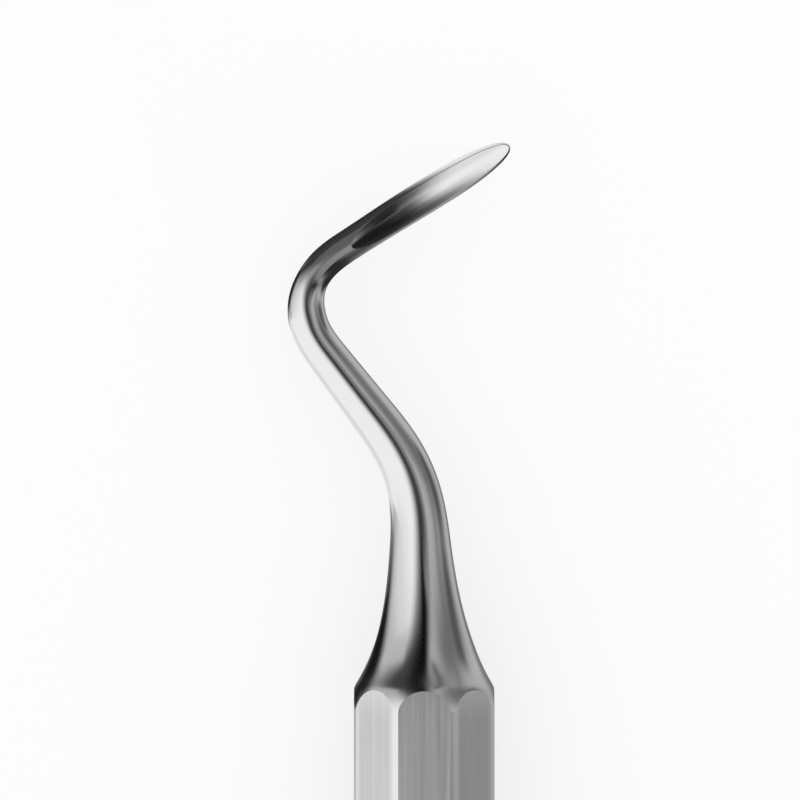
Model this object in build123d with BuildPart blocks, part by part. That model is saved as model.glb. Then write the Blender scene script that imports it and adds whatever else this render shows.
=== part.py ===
"""A dental elevator: octagonal grip, flared neck, S-bent shank and spoon blade, forged from one bar.

Millimetres. The grip lies along +Y on its lower flat, whose centre is the origin, and +Z is up.
The shank's bends lie in the horizontal plane through the grip's axis.
"""
from math import acos, asin, atan2, cos, degrees, exp, radians, sin
import os

from build123d import *

# Grip, an octagonal bar with its corners turned down, a domed butt and a shoulder at the neck
grip_length = 105.0
grip_flats = 12.0
grip_corners = 12.8
butt_dome_height = 1.8
butt_edge_radius = 1.0
shoulder_height = 0.78
shoulder_radius = 4.5

# Shank, round, flared where it leaves the grip and tapering to the elbow; s runs along its middle
elbow_diameter = 3.30
arm_diameter = 2.74
shank_taper = 0.027
flare_length = 5.6
neck_lean_angle = 2.0
neck_lean_length = 5.0
lower_bend_start = 11.2
lower_bend_length = 12.6
lower_bend_angle = 35.7
elbow_start = 29.7
elbow_length = 11.8
elbow_angle = 94.6
elbow_draw_start = 33.2
elbow_draw_length = 4.8

# Blade, drawn out flat and wide past the elbow, swept up and rounded at its tip
blade_length = 16.1
blade_width = 3.0
blade_spread_length = 8.0
blade_roll_angle = 14.0
blade_sweep_radius = 74.0
tip_thickness = 0.9
tip_length = 7.4
tip_fullness = 2.2

# Trough, ground into the blade's upper face with a round-edged wheel
trough_radius = 1.85
trough_low_point = 5.5
trough_floor_height = 0.53
trough_heel_radius = 17.8
trough_front_radius = 43.0
grind_overrun = 1.2

# Spacing of the sections that the shank and blade are drawn through
section_spacing = 1.15
tip_sections = 12
path_steps_per_mm = 20
slope_step = 0.01

grip_axis_height = grip_flats / 2
neck_y = grip_length / 2
neck_radius = grip_corners / 2 - shoulder_height
heel = elbow_start + elbow_length
blade_end = heel + blade_length
tip_start = blade_end - tip_length


def ease(share):
    """A smooth step from 0 to 1."""
    share = min(max(share, 0.0), 1.0)
    return share * share * (3 - 2 * share)


def heading(s):
    """Direction of the shank's middle line in the horizontal plane, in degrees from +X."""
    turned = neck_lean_angle * ease(s / neck_lean_length)
    turned += lower_bend_angle * ease((s - lower_bend_start) / lower_bend_length)
    turned -= elbow_angle * ease((s - elbow_start) / elbow_length)
    return 90 + turned


def along(s):
    """Unit vector along the middle line."""
    return Vector(cos(radians(heading(s))), sin(radians(heading(s))), 0)


def middle(s):
    """Point of the middle line, s from where the neck leaves the grip."""
    steps = max(1, round(s * path_steps_per_mm))
    step = s / steps
    point = Vector(0, neck_y, grip_axis_height)
    for i in range(steps):
        point += along((i + 0.5) * step) * step
    return point


def shank_radius(s):
    """Radius of the round shank: a straight taper, the flare at the grip, the draw to the arm."""
    taper = elbow_diameter / 2 + shank_taper * elbow_draw_start
    flare = (neck_radius - taper) * exp(-s / flare_length)
    draw = (elbow_diameter - arm_diameter) / 2 * ease((s - elbow_draw_start) / elbow_draw_length)
    return taper - shank_taper * min(s, elbow_draw_start) + flare - draw


def tip_share(s):
    """Share of its width that the blade keeps in its rounded tip."""
    past = max(0.0, (s - tip_start) / tip_length)
    return (1 - past**tip_fullness) ** (1 / tip_fullness)


def half_width(s):
    """Half the width of the shank or blade."""
    spread = (blade_width - arm_diameter) / 2 * ease((s - heel) / blade_spread_length)
    return (shank_radius(s) + spread) * tip_share(s)


def half_depth(s):
    """Half the thickness of the shank or blade."""
    if s <= heel:
        return half_width(s)
    thinning = ease((s - heel) / blade_length)
    return (shank_radius(s) * (1 - thinning) + tip_thickness / 2 * thinning) * tip_share(s)


def rolled_up(s):
    """The blade's upward normal, rolled about the middle line towards the inside of the elbow."""
    right = along(s).cross(Vector(0, 0, 1))
    return Vector(0, 0, cos(radians(blade_roll_angle))) + right * sin(radians(blade_roll_angle))


def section_plane(s):
    """Plane square to the shank or blade, local X to the left and local Y up."""
    past_heel = max(0.0, s - heel)
    rise = past_heel**2 / (2 * blade_sweep_radius)
    climb = atan2(past_heel, blade_sweep_radius)
    up = rolled_up(s)
    forward = along(s) * cos(climb) + up * sin(climb)
    return Plane(origin=middle(s) + up * rise, x_dir=up.cross(along(s)), z_dir=forward)


round_sections = round(tip_start / section_spacing)
stations = [tip_start * i / round_sections for i in range(round_sections)]
stations += [blade_end - tip_length * (1 - i / tip_sections) ** 3 for i in range(tip_sections)]

with BuildPart() as elevator:
    # Grip: turned envelope, then planed to eight flats
    flare_slope = (shank_radius(0) - shank_radius(slope_step)) / slope_step
    cone_length = shoulder_height / flare_slope
    butt = (0, -grip_length / 2)
    butt_edge = (grip_corners / 2, -grip_length / 2 + butt_dome_height)
    shoulder = (grip_corners / 2, neck_y - cone_length)
    neck = (neck_radius, neck_y)
    dome_radius = (butt_edge[0] ** 2 + butt_dome_height**2) / (2 * butt_dome_height)
    with BuildSketch(Plane.XY.offset(grip_axis_height)) as grip_half:
        with BuildLine():
            RadiusArc(butt, butt_edge, -dome_radius)
            Polyline(butt_edge, shoulder, neck, (0, neck_y), butt)
        make_face()
        corners = grip_half.vertices().filter_by_position(Axis.X, butt_edge[0], butt_edge[0])
        fillet(corners.sort_by(Axis.Y)[0], butt_edge_radius)
        fillet(grip_half.vertices().group_by(Axis.X)[-1].sort_by(Axis.Y)[-1], shoulder_radius)
    revolve(axis=Axis((0, 0, grip_axis_height), (0, 1, 0)))
    with BuildSketch(Plane.XZ.offset(grip_length / 2)):
        with Locations((0, grip_axis_height)):
            RegularPolygon(grip_flats / 2, 8, major_radius=False, rotation=22.5)
    extrude(amount=-grip_length, mode=Mode.INTERSECT)

    # Shank and blade, one form from the neck to the tip
    for s in stations:
        with BuildSketch(section_plane(s)):
            Ellipse(half_width(s), half_depth(s))
    loft()

    # Trough
    across = -rolled_up(heel).cross(along(heel))
    blade_side = Plane(origin=middle(heel), x_dir=along(heel), z_dir=across)
    heel_rise = shank_radius(heel) - trough_floor_height + grind_overrun
    heel_sweep = degrees(acos(1 - heel_rise / trough_heel_radius))
    front_run = blade_length - trough_low_point + grind_overrun
    front_sweep = degrees(asin(front_run / trough_front_radius))
    with BuildLine(blade_side) as grind:
        CenterArc(
            (trough_low_point, trough_floor_height + trough_heel_radius),
            trough_heel_radius - trough_radius,
            270 - heel_sweep,
            heel_sweep,
        )
        CenterArc(
            (trough_low_point, trough_floor_height + trough_front_radius),
            trough_front_radius - trough_radius,
            270,
            front_sweep,
        )
    grind_path = grind.wires()[0]
    with BuildSketch(Plane(origin=grind_path @ 0, z_dir=grind_path % 0)):
        Circle(trough_radius)
    sweep(path=grind_path, mode=Mode.SUBTRACT)

elevator.part.label = "elevator"
os.makedirs("parts", exist_ok=True)
export_step(elevator.part, "parts/elevator.step")
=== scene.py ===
from math import acos, asin, atan, atan2, cos, exp, pi, radians, sin, tan

import bpy
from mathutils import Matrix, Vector


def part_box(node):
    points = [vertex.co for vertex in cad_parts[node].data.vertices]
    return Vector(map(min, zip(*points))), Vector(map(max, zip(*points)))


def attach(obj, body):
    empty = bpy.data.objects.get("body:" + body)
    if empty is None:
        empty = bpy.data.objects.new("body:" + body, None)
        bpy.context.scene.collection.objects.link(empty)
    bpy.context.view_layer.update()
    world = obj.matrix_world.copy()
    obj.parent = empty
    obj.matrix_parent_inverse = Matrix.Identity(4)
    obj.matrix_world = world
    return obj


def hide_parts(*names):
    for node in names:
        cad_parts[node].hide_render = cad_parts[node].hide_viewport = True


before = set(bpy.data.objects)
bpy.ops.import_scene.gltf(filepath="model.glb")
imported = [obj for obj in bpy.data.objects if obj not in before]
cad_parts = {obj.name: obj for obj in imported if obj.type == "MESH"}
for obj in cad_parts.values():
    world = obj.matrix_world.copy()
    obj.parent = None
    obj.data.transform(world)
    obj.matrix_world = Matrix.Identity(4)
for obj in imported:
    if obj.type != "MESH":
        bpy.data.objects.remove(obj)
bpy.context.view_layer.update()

# Blank
# The elevator is forged from one bar of stainless steel. The blank is that bar while it is still
# straight: a turned grip with a domed butt, the flared neck, the tapered shank and the blade drawn flat.
mm = 0.001
low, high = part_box("elevator")
grip_flats = high.z - low.z
grip_length = -2 * low.y
grip_corners = 12.8 * mm
butt_dome_height = 1.8 * mm
butt_edge_radius = 1.0 * mm
shoulder_height = 0.78 * mm
shoulder_radius = 4.5 * mm
elbow_diameter = 3.30 * mm
arm_diameter = 2.74 * mm
shank_taper = 0.027
flare_length = 5.6 * mm
elbow_start = 29.7 * mm
elbow_length = 11.8 * mm
elbow_draw_start = 33.2 * mm
elbow_draw_length = 4.8 * mm
blade_length = 16.1 * mm
blade_width = 3.0 * mm
blade_spread_length = 8.0 * mm
blade_roll = radians(14)
tip_thickness = 0.9 * mm
tip_length = 7.4 * mm
tip_fullness = 2.2

axis_height = grip_flats / 2
neck_radius = grip_corners / 2 - shoulder_height
heel = elbow_start + elbow_length
blade_end = heel + blade_length
tip_start = blade_end - tip_length


def ease(share):
    """A smooth step from 0 to 1."""
    share = min(max(share, 0.0), 1.0)
    return share * share * (3 - 2 * share)


def shank_radius(s):
    """Radius of the round shank, s along its middle from the grip."""
    taper = elbow_diameter / 2 + shank_taper * elbow_draw_start
    flare = (neck_radius - taper) * exp(-s / flare_length)
    draw = (elbow_diameter - arm_diameter) / 2 * ease((s - elbow_draw_start) / elbow_draw_length)
    return taper - shank_taper * min(s, elbow_draw_start) + flare - draw


def tip_share(s):
    """Share of its width and depth that the blade keeps in its rounded tip."""
    past = max(0.0, (s - tip_start) / tip_length)
    return (1 - past**tip_fullness) ** (1 / tip_fullness)


def half_width(s):
    """Half the width of the shank or blade."""
    spread = (blade_width - arm_diameter) / 2 * ease((s - heel) / blade_spread_length)
    return (shank_radius(s) + spread) * tip_share(s)


def half_depth(s):
    """Half the thickness of the shank or blade."""
    thinning = ease((s - heel) / blade_length)
    return (shank_radius(s) * (1 - thinning) + tip_thickness / 2 * thinning) * tip_share(s)


def only(piece):
    """Leaves one piece selected and active."""
    bpy.ops.object.select_all(action="DESELECT")
    piece.select_set(True)
    bpy.context.view_layer.objects.active = piece


def select_edges(piece, wanted):
    """In edit mode, selects the edges whose two ends are both wanted."""
    bpy.ops.mesh.select_mode(type="EDGE")
    bpy.ops.mesh.select_all(action="DESELECT")
    bpy.ops.object.mode_set(mode="OBJECT")
    points = piece.data.vertices
    for edge in piece.data.edges:
        edge.select = all(wanted(points[end].co) for end in edge.vertices)
    bpy.ops.object.mode_set(mode="EDIT")


def draw_out(place, width, depth):
    """Extrudes the selected ring along the bar to a place, with new half-width and half-depth."""
    global ring
    step = (0, place - ring[0], 0)
    bpy.ops.mesh.extrude_region_move(TRANSFORM_OT_translate={"value": step})
    scale = (width / ring[1], 1, depth / ring[2])
    bpy.ops.transform.resize(value=scale, center_override=(0, place, axis_height))
    ring = (place, width, depth)


bar_sides = 96
dome_rings = 8
first_ring = 0.3 * mm
butt = -grip_length / 2
neck = grip_length / 2
dome_radius = ((grip_corners / 2) ** 2 + butt_dome_height**2) / (2 * butt_dome_height)
bpy.ops.object.select_all(action="DESELECT")
bpy.ops.mesh.primitive_circle_add(
    vertices=bar_sides,
    radius=first_ring,
    fill_type="NGON",
    location=(0, butt, axis_height),
    rotation=(pi / 2, 0, 0),
)
forging = bpy.context.object
forging.name = "forged_elevator"
bpy.ops.object.transform_apply()
bpy.ops.object.mode_set(mode="EDIT")
bpy.ops.mesh.select_all(action="SELECT")
ring = (butt, first_ring, first_ring)
for i in range(1, dome_rings + 1):
    radius = first_ring + (grip_corners / 2 - first_ring) * i / dome_rings
    sagitta = dome_radius - (dome_radius**2 - radius**2) ** 0.5
    draw_out(butt + sagitta, radius, radius)
slope_step = 0.01 * mm
flare_slope = (neck_radius - shank_radius(slope_step)) / slope_step
shoulder = neck - shoulder_height / flare_slope
draw_out(shoulder, grip_corners / 2, grip_corners / 2)
draw_out(neck, neck_radius, neck_radius)
ring_spacing = 0.4 * mm
tip_rings = 24
shank_rings = round(tip_start / ring_spacing)
stations = [tip_start * i / shank_rings for i in range(1, shank_rings)]
stations += [blade_end - tip_length * (1 - i / tip_rings) ** 3 for i in range(tip_rings)]
for s in stations:
    draw_out(neck + s, half_width(s), half_depth(s))

# Rounded edges of the turned grip
on_ring = 0.01 * mm
shoulder_segments = 14
butt_segments = 8
shoulder_turn = atan(flare_slope)
select_edges(forging, lambda point: abs(point.y - shoulder) < on_ring)
bpy.ops.mesh.bevel(offset=shoulder_radius * tan(shoulder_turn / 2), segments=shoulder_segments)
butt_turn = pi / 2 - asin(grip_corners / 2 / dome_radius)
select_edges(forging, lambda point: abs(point.y - butt - butt_dome_height) < on_ring)
bpy.ops.mesh.bevel(offset=butt_edge_radius * tan(butt_turn / 2), segments=butt_segments)

# Blade rolled about the bar towards the inside of the elbow
bpy.ops.mesh.select_all(action="SELECT")
bpy.ops.transform.rotate(value=-blade_roll, orient_axis="Y", center_override=(0, 0, axis_height))
bpy.ops.mesh.normals_make_consistent(inside=False)
bpy.ops.object.mode_set(mode="OBJECT")


def shape(piece, kind, **settings):
    """Adds a modifier to a piece and applies it."""
    only(piece)
    modifier = piece.modifiers.new(kind.title(), kind)
    for name, value in settings.items():
        setattr(modifier, name, value)
    bpy.ops.object.modifier_apply(modifier=modifier.name)


# Flats
# The turned grip is planed to eight flats, which run out in shallow scallops on the shoulder and butt.
# The planer is an octagonal prism as long as the bar, and what lies inside it stays.
flats_overrun = 5 * mm
bpy.ops.object.select_all(action="DESELECT")
bpy.ops.mesh.primitive_cylinder_add(
    vertices=8,
    radius=grip_flats / 2 / cos(pi / 8),
    depth=grip_length + blade_end + 2 * flats_overrun,
    location=(0, blade_end / 2, axis_height),
    rotation=(pi / 2, pi / 8, 0),
)
planer = bpy.context.object
bpy.ops.object.transform_apply()
shape(forging, "BOOLEAN", operation="INTERSECT", solver="EXACT", object=planer)
bpy.data.objects.remove(planer)

# Bends
# The bar is bent cold over a jig: a small lean at the neck, the lower bend, the elbow back across it,
# and the blade swept up to its tip. The path below is the middle line of the finished shank, and its
# turns are in degrees.
neck_lean = 2.0
neck_lean_length = 5.0 * mm
lower_bend_start = 11.2 * mm
lower_bend_length = 12.6 * mm
lower_bend_turn = 35.7
elbow_turn = 94.6
blade_sweep_radius = 74.0 * mm


def heading(s):
    """Direction of the middle line in the horizontal plane, in radians from +X."""
    turned = neck_lean * ease(s / neck_lean_length)
    turned += lower_bend_turn * ease((s - lower_bend_start) / lower_bend_length)
    turned -= elbow_turn * ease((s - elbow_start) / elbow_length)
    return radians(90 + turned)


def along(s):
    """Unit vector along the middle line, before the blade is swept up."""
    return Vector((cos(heading(s)), sin(heading(s)), 0))


def rolled_up(s):
    """The blade's upward normal."""
    right = along(s).cross(Vector((0, 0, 1)))
    return Vector((0, 0, cos(blade_roll))) + right * sin(blade_roll)


path_step = 0.1 * mm
path_steps = round(blade_end / path_step)
middle = Vector((0, neck, axis_height))
path_points = [Vector((0, butt, axis_height)), middle.copy()]
for i in range(path_steps):
    step = blade_end / path_steps
    middle = middle + along((i + 0.5) * step) * step
    s = (i + 1) * step
    if abs(s - heel) < step / 2:
        heel_place = middle.copy()
    rise = max(0.0, s - heel) ** 2 / (2 * blade_sweep_radius)
    path_points.append(middle + rolled_up(s) * rise)

for point in forging.data.vertices:
    place = point.co.y - neck
    if place > 0:
        whole = min(int(place / blade_end * path_steps), path_steps - 1)
        share = place / blade_end * path_steps - whole
        here = path_points[whole + 1].lerp(path_points[whole + 2], share)
        forward = (path_points[whole + 2] - path_points[whole + 1]).normalized()
        side = forward.cross(Vector((0, 0, 1))).normalized()
        up = side.cross(forward)
        point.co = here + side * point.co.x + up * (point.co.z - axis_height)

# Trough
# A round-edged grinding wheel is run in at the blade's heel and drawn out over the tip, and leaves the
# hollow of the spoon. The cutter below is the wheel's rim, spun about the two centres of its run.
trough_radius = 1.85 * mm
trough_low_point = 5.5 * mm
trough_floor_height = 0.53 * mm
trough_heel_radius = 17.8 * mm
trough_front_radius = 43.0 * mm
grind_overrun = 1.2 * mm

forward = along(heel)
up = rolled_up(heel)
across = up.cross(forward)
lowest = heel_place + forward * trough_low_point + up * trough_floor_height
wheel_place = lowest + up * trough_radius
heel_rise = shank_radius(heel) - trough_floor_height + grind_overrun
heel_sweep = acos(1 - heel_rise / trough_heel_radius)
front_run = blade_length - trough_low_point + grind_overrun
front_sweep = asin(front_run / trough_front_radius)
on_wheel = 0.001 * mm
wheel_sides = 160
heel_steps = 60
front_steps = 60
bpy.ops.object.select_all(action="DESELECT")
bpy.ops.mesh.primitive_circle_add(
    vertices=wheel_sides,
    radius=trough_radius,
    location=wheel_place,
    rotation=forward.to_track_quat("Z", "Y").to_euler(),
)
wheel = bpy.context.object
bpy.ops.object.transform_apply()
bpy.ops.object.mode_set(mode="EDIT")
bpy.ops.mesh.select_all(action="SELECT")
bpy.ops.mesh.spin(
    steps=heel_steps,
    angle=-heel_sweep,
    center=lowest + up * trough_heel_radius,
    axis=across,
)
bpy.ops.mesh.edge_face_add()
select_edges(wheel, lambda point: abs((point - wheel_place).dot(forward)) < on_wheel)
bpy.ops.mesh.spin(
    steps=front_steps,
    angle=front_sweep,
    center=lowest + up * trough_front_radius,
    axis=across,
)
bpy.ops.mesh.edge_face_add()
bpy.ops.mesh.select_all(action="SELECT")
bpy.ops.mesh.normals_make_consistent(inside=False)
bpy.ops.object.mode_set(mode="OBJECT")
shape(forging, "BOOLEAN", operation="DIFFERENCE", solver="EXACT", object=wheel)
bpy.data.objects.remove(wheel)

# Outlines of the flats stay crisp, as does any edge past edge_angle, such as the trough's rim. The rest
# is buffed smooth.
edge_angle = radians(14)
flat_tilt = radians(0.2)
eighth_turn = pi / 4
only(forging)
bpy.ops.object.mode_set(mode="EDIT")
bpy.ops.mesh.select_mode(type="FACE")
bpy.ops.mesh.select_all(action="DESELECT")
bpy.ops.object.mode_set(mode="OBJECT")
for face in forging.data.polygons:
    turned = atan2(face.normal.x, face.normal.z) / eighth_turn
    off_flat = abs(turned - round(turned)) * eighth_turn
    face.select = max(off_flat, abs(asin(face.normal.y))) < flat_tilt and face.center.y < neck
bpy.ops.object.mode_set(mode="EDIT")
bpy.ops.mesh.region_to_loop()
bpy.ops.mesh.mark_sharp()
bpy.ops.object.mode_set(mode="OBJECT")
bpy.ops.object.shade_smooth_by_angle(angle=edge_angle, keep_sharp_edges=True)


class Value:
    """A shader value: Python's operators add Math nodes to its tree, and make() adds any other node."""

    def __init__(self, tree, socket=None):
        self.tree = tree
        self.socket = socket

    def make(self, kind, output, settings, sockets):
        node = self.tree.nodes.new("ShaderNode" + kind)
        for name, value in settings.items():
            setattr(node, name, value)
        for name, value in sockets.items():
            if isinstance(value, Value):
                self.tree.links.new(value.socket, node.inputs[name])
            else:
                node.inputs[name].default_value = value
        return Value(self.tree, node.outputs[output])

    def math(self, operation, *others):
        sockets = dict(enumerate((self,) + others))
        return self.make("Math", 0, {"operation": operation}, sockets)

    def __add__(self, other):
        return self.math("ADD", other)

    def __radd__(self, other):
        return self.math("ADD", other)

    def __sub__(self, other):
        return self.math("SUBTRACT", other)

    def __rsub__(self, other):
        return (self * -1).math("ADD", other)

    def __mul__(self, other):
        return self.math("MULTIPLY", other)

    def __rmul__(self, other):
        return self.math("MULTIPLY", other)

    def __truediv__(self, other):
        return self.math("DIVIDE", other)

    def __abs__(self):
        return self.math("ABSOLUTE")

    def smooth(self, start, end):
        """0 below start, 1 above end, and a smooth step between them."""
        limits = {"Value": self, "From Min": start, "From Max": end}
        return self.make("MapRange", 0, {"interpolation_type": "SMOOTHSTEP"}, limits)


def new_material(name):
    """A material with a Principled shader, and a Value to begin its maths with."""
    material = bpy.data.materials.new(name)
    material.use_nodes = True
    return material, Value(material.node_tree)


# Steel
# Hardened stainless steel, buffed along the bar to a mirror on shank and blade. The grip is left satin
# so that it doesn't slip, and handling has put faint hairlines on it.
steel, steel_maths = new_material("polished_steel")
finish = steel.node_tree.nodes["Principled BSDF"]
finish.inputs["Metallic"].default_value = 1.0
place = steel_maths.make("TexCoord", "Object", {}, {})


def buffing(scale, stretch, detail):
    """Noise drawn out along the bar, as the buffing wheel leaves it."""
    drawn_out = steel_maths.make(
        "Mapping", "Vector", {"vector_type": "POINT"}, {"Vector": place, "Scale": (1, 1 / stretch, 1)}
    )
    pattern = {"Vector": drawn_out, "Scale": scale, "Detail": detail}
    return steel_maths.make("TexNoise", "Fac", {}, pattern)


clouds = buffing(scale=160.0, stretch=1, detail=3.0)
grain = buffing(scale=900.0, stretch=8, detail=4.0)
hairlines = buffing(scale=3200.0, stretch=60, detail=5.0)
along_bar = steel_maths.make("SeparateXYZ", "Y", {}, {"Vector": place})
side = steel_maths.make("SeparateXYZ", "X", {}, {"Vector": place})
height = steel_maths.make("SeparateXYZ", "Z", {}, {"Vector": place}) - axis_height
from_axis = (side * side + height * height).math("SQRT")
satin_start = neck + 2 * mm
satin_full = neck - 4 * mm
rub_start = grip_flats / 2 + 0.2 * mm
satin = 1 - along_bar.smooth(satin_full, satin_start)
rubbed = satin * from_axis.smooth(rub_start, grip_corners / 2)
brushed = satin * (hairlines - 0.5)
unevenness = 0.03
mirror_roughness = 0.10
satin_roughness = 0.16
hairline_roughness = 0.30
rubbed_shine = 0.09
roughness = mirror_roughness + unevenness * clouds + unevenness * grain
roughness = roughness + satin_roughness * satin + hairline_roughness * brushed - rubbed_shine * rubbed
mirror_tone = 0.60
satin_shade = 0.11
hairline_tone = 0.16
rubbed_tone = 0.10
tone = mirror_tone + unevenness * clouds - satin_shade * satin
tone = tone + hairline_tone * brushed + rubbed_tone * rubbed
colour = steel_maths.make("CombineColor", 0, {}, {"Red": tone, "Green": tone, "Blue": tone})
hairline_share = 3
scratch_strength = 0.02
scratch_depth = 0.02 * mm
scratches = {
    "Height": grain + hairline_share * brushed,
    "Strength": scratch_strength,
    "Distance": scratch_depth,
}
relief = steel_maths.make("Bump", "Normal", {}, scratches)
for name, value in (("Base Color", colour), ("Roughness", roughness), ("Normal", relief)):
    steel.node_tree.links.new(value.socket, finish.inputs[name])
forging.data.materials.clear()
forging.data.materials.append(steel)
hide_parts("elevator")
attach(forging, "root")

# Table
# A white table top under the instrument, wide enough to fill every view.
table_size = 3.0
bpy.ops.object.select_all(action="DESELECT")
bpy.ops.mesh.primitive_plane_add(size=table_size)
table = bpy.context.object
table.name = "table"
top, top_maths = new_material("white_table")
paper = top.node_tree.nodes["Principled BSDF"]
white = (1.0, 1.0, 1.0, 1.0)
table_tone = 0.95
table_roughness = 0.8
paper.inputs["Base Color"].default_value = (table_tone, table_tone, table_tone, 1.0)
paper.inputs["Roughness"].default_value = table_roughness
rays = top_maths.make("LightPath", "Is Camera Ray", {}, {})
glow = top_maths.make("Emission", 0, {}, {"Color": white, "Strength": 1.0})
shadow_share = 0.3
mixed = top_maths.make(
    "MixShader", 0, {}, {0: rays * (1 - shadow_share), 1: Value(top.node_tree, paper.outputs[0]), 2: glow}
)
surface = top.node_tree.nodes["Material Output"].inputs["Surface"]
top.node_tree.links.new(mixed.socket, surface)
table.data.materials.append(top)
table.visible_glossy = False

# Studio
# Soft boxes and black cards round the instrument, laid out on a flat plan of all directions: straight
# up is its middle, the distance from the middle is the angle from straight up, and right is right.
world = bpy.data.worlds.new("studio")
bpy.context.scene.world = world
world.use_nodes = True
plan_maths = Value(world.node_tree)
direction = plan_maths.make("TexCoord", "Generated", {}, {})
right = plan_maths.make("SeparateXYZ", "X", {}, {"Vector": direction})
ahead = plan_maths.make("SeparateXYZ", "Y", {}, {"Vector": direction})
over = plan_maths.make("SeparateXYZ", "Z", {}, {"Vector": direction})
from_top = over.math("ARCCOSINE") * (180 / pi)
off_zero = 1e-9
level = (right * right + ahead * ahead + off_zero).math("SQRT")
plan = plan_maths.make(
    "CombineXYZ", 0, {}, {"X": right / level * from_top, "Y": ahead / level * from_top}
)


def card(middle, half_size, turn, softness):
    """Mask of a soft-edged card on the plan, in degrees."""
    on_card = plan_maths.make(
        "Mapping",
        "Vector",
        {"vector_type": "TEXTURE"},
        {"Vector": plan, "Location": (*middle, 0), "Rotation": (0, 0, radians(turn))},
    )
    mask = 1.0
    for axis, half in zip("XY", half_size):
        inside = half - abs(plan_maths.make("SeparateXYZ", axis, {}, {"Vector": on_card}))
        mask = inside.smooth(-softness / 2, softness / 2) * mask
    return mask


# The room's level gives way to the table's below the horizon. Each card then has its middle, half its
# size, its turn and its softness, all in degrees on the plan, and its level. The numbers were fitted,
# so that the bands of light on the steel fall as in the photograph.
room = 0.68
table_light = 0.24
table_start = 129
table_full = 153
light = room + (table_light - room) * from_top.smooth(table_start, table_full)
cards = [
    ((-44, -57), (66, 72), 31, 4, 1.36),
    ((-60, 22), (46, 14), 29, 35, 1.07),
    ((-128, 43), (23, 41), -32, 25, 0.012),
    ((-59, 89), (34, 78), 59, 26, 0.042),
    ((20, -7), (12.6, 81), 30, 20, 0.008),
    ((21, -8), (14.6, 26), 38, 7, 0.337),
    ((92, -74), (46, 52), 22, 35, 0.033),
    ((71, 32), (19, 42), 72, 35, 0.241),
    ((88, 31), (10.7, 19), 21, 15, 0.130),
    ((-28, 40), (4, 53), 30, 32, 0.082),
    ((42, -118), (24, 59), 41, 18, 1.16),
    ((63, 19), (2, 73), 5, 29, 0.208),
    ((-69, 40), (27, 8), -7, 10, 0.74),
    ((1, 29), (5.0, 25), 7, 10, 0.0),
    ((27, -1), (4.5, 21), 63, 9, 0.0),
    ((-112, -84), (34, 70), 37, 20, 1.10),
]
for middle, half_size, turn, softness, strength in cards:
    light = light + (strength - light) * card(middle, half_size, turn, softness)
lit = plan_maths.make("Background", 0, {}, {"Color": light, "Strength": 1.0})
plain = plan_maths.make("Background", 0, {}, {"Color": white, "Strength": 1.0})
glossy = plan_maths.make("LightPath", "Is Glossy Ray", {}, {})
seen = glossy + plan_maths.make("LightPath", "Is Transmission Ray", {}, {})
sky = plan_maths.make("MixShader", 0, {}, {0: seen, 1: plain, 2: lit})
output = world.node_tree.nodes["World Output"].inputs["Surface"]
world.node_tree.links.new(sky.socket, output)
world.cycles.sampling_method = "NONE"


def stand_card(name, place, facing, lean, half_size, softness, strength):
    """A small soft-edged card near the blade that the camera doesn't see, in millimetres and degrees."""
    facing = radians(facing)
    lean = radians(lean)
    towards = Vector((cos(facing) * cos(lean), sin(facing) * cos(lean), sin(lean)))
    bpy.ops.object.select_all(action="DESELECT")
    bpy.ops.mesh.primitive_plane_add(
        size=1.0,
        location=[distance * mm for distance in place],
        rotation=towards.to_track_quat("Z", "Y").to_euler(),
    )
    held = bpy.context.object
    held.name = name
    held.scale = (2 * half_size[0] * mm, 2 * half_size[1] * mm, 1)
    bpy.ops.object.transform_apply()
    card_face, maths = new_material(name)
    across_card = maths.make("TexCoord", "UV", {}, {})
    mask = 1.0
    for axis, half in zip("XY", half_size):
        from_middle = maths.make("SeparateXYZ", axis, {}, {"Vector": across_card}) - 0.5
        mask = (0.5 - abs(from_middle)).smooth(0, softness / (2 * half)) * mask
    shine = maths.make("Emission", 0, {}, {"Color": white, "Strength": strength})
    clear = maths.make("BsdfTransparent", 0, {}, {})
    soft = maths.make("MixShader", 0, {}, {0: mask, 1: clear, 2: shine})
    surface = card_face.node_tree.nodes["Material Output"].inputs["Surface"]
    card_face.node_tree.links.new(soft.socket, surface)
    held.data.materials.append(card_face)
    held.visible_camera = False
    held.visible_diffuse = False
    held.visible_shadow = False


stand_card("black_card", (14.8, 84.6, 33.7), 94, -27, (8.6, 22.4), 11.7, 0.009)
stand_card("grey_card", (-14.6, 98.9, 21.2), -118, -61, (14.6, 9.9), 5.9, 0.169)
stand_card("dark_card", (-26.0, 109.5, 6.0), 17, -15, (22.5, 16.2), 9.2, 0.059)
stand_card("white_card", (1.8, 100.9, 12.0), -104, 11, (10.1, 27.0), 7.4, 1.26)
stand_card("heel_card", (-2.3, 91.5, 12.5), -60, -89, (4.3, 6.7), 4.1, 0.012)

# Camera
# It looks straight down on the instrument, from the distance at which its long lens frames 800 pixels.
# The photograph shows the blade 35 pixels wide and is cut across the neck, which gives scale and place.
blade_width_pixels = 35
picture_pixels = 800
cut_pixel = (424.1, 667.5)
cut_above_neck = 1.0 * mm
cut_place = neck + cut_above_neck
pixel = blade_width / blade_width_pixels
lens = 250.0
sensor = 36.0
clip_end = 10.0
view = bpy.data.cameras.new("camera")
view.lens = lens
view.sensor_width = sensor
view.clip_end = clip_end
camera = bpy.data.objects.new("camera", view)
bpy.context.scene.collection.objects.link(camera)
camera.location = (
    (picture_pixels / 2 - cut_pixel[0]) * pixel,
    cut_place + (cut_pixel[1] - picture_pixels / 2) * pixel,
    axis_height + picture_pixels * pixel * lens / sensor,
)
bpy.context.scene.camera = camera
bpy.context.scene.view_settings.view_transform = "Standard"
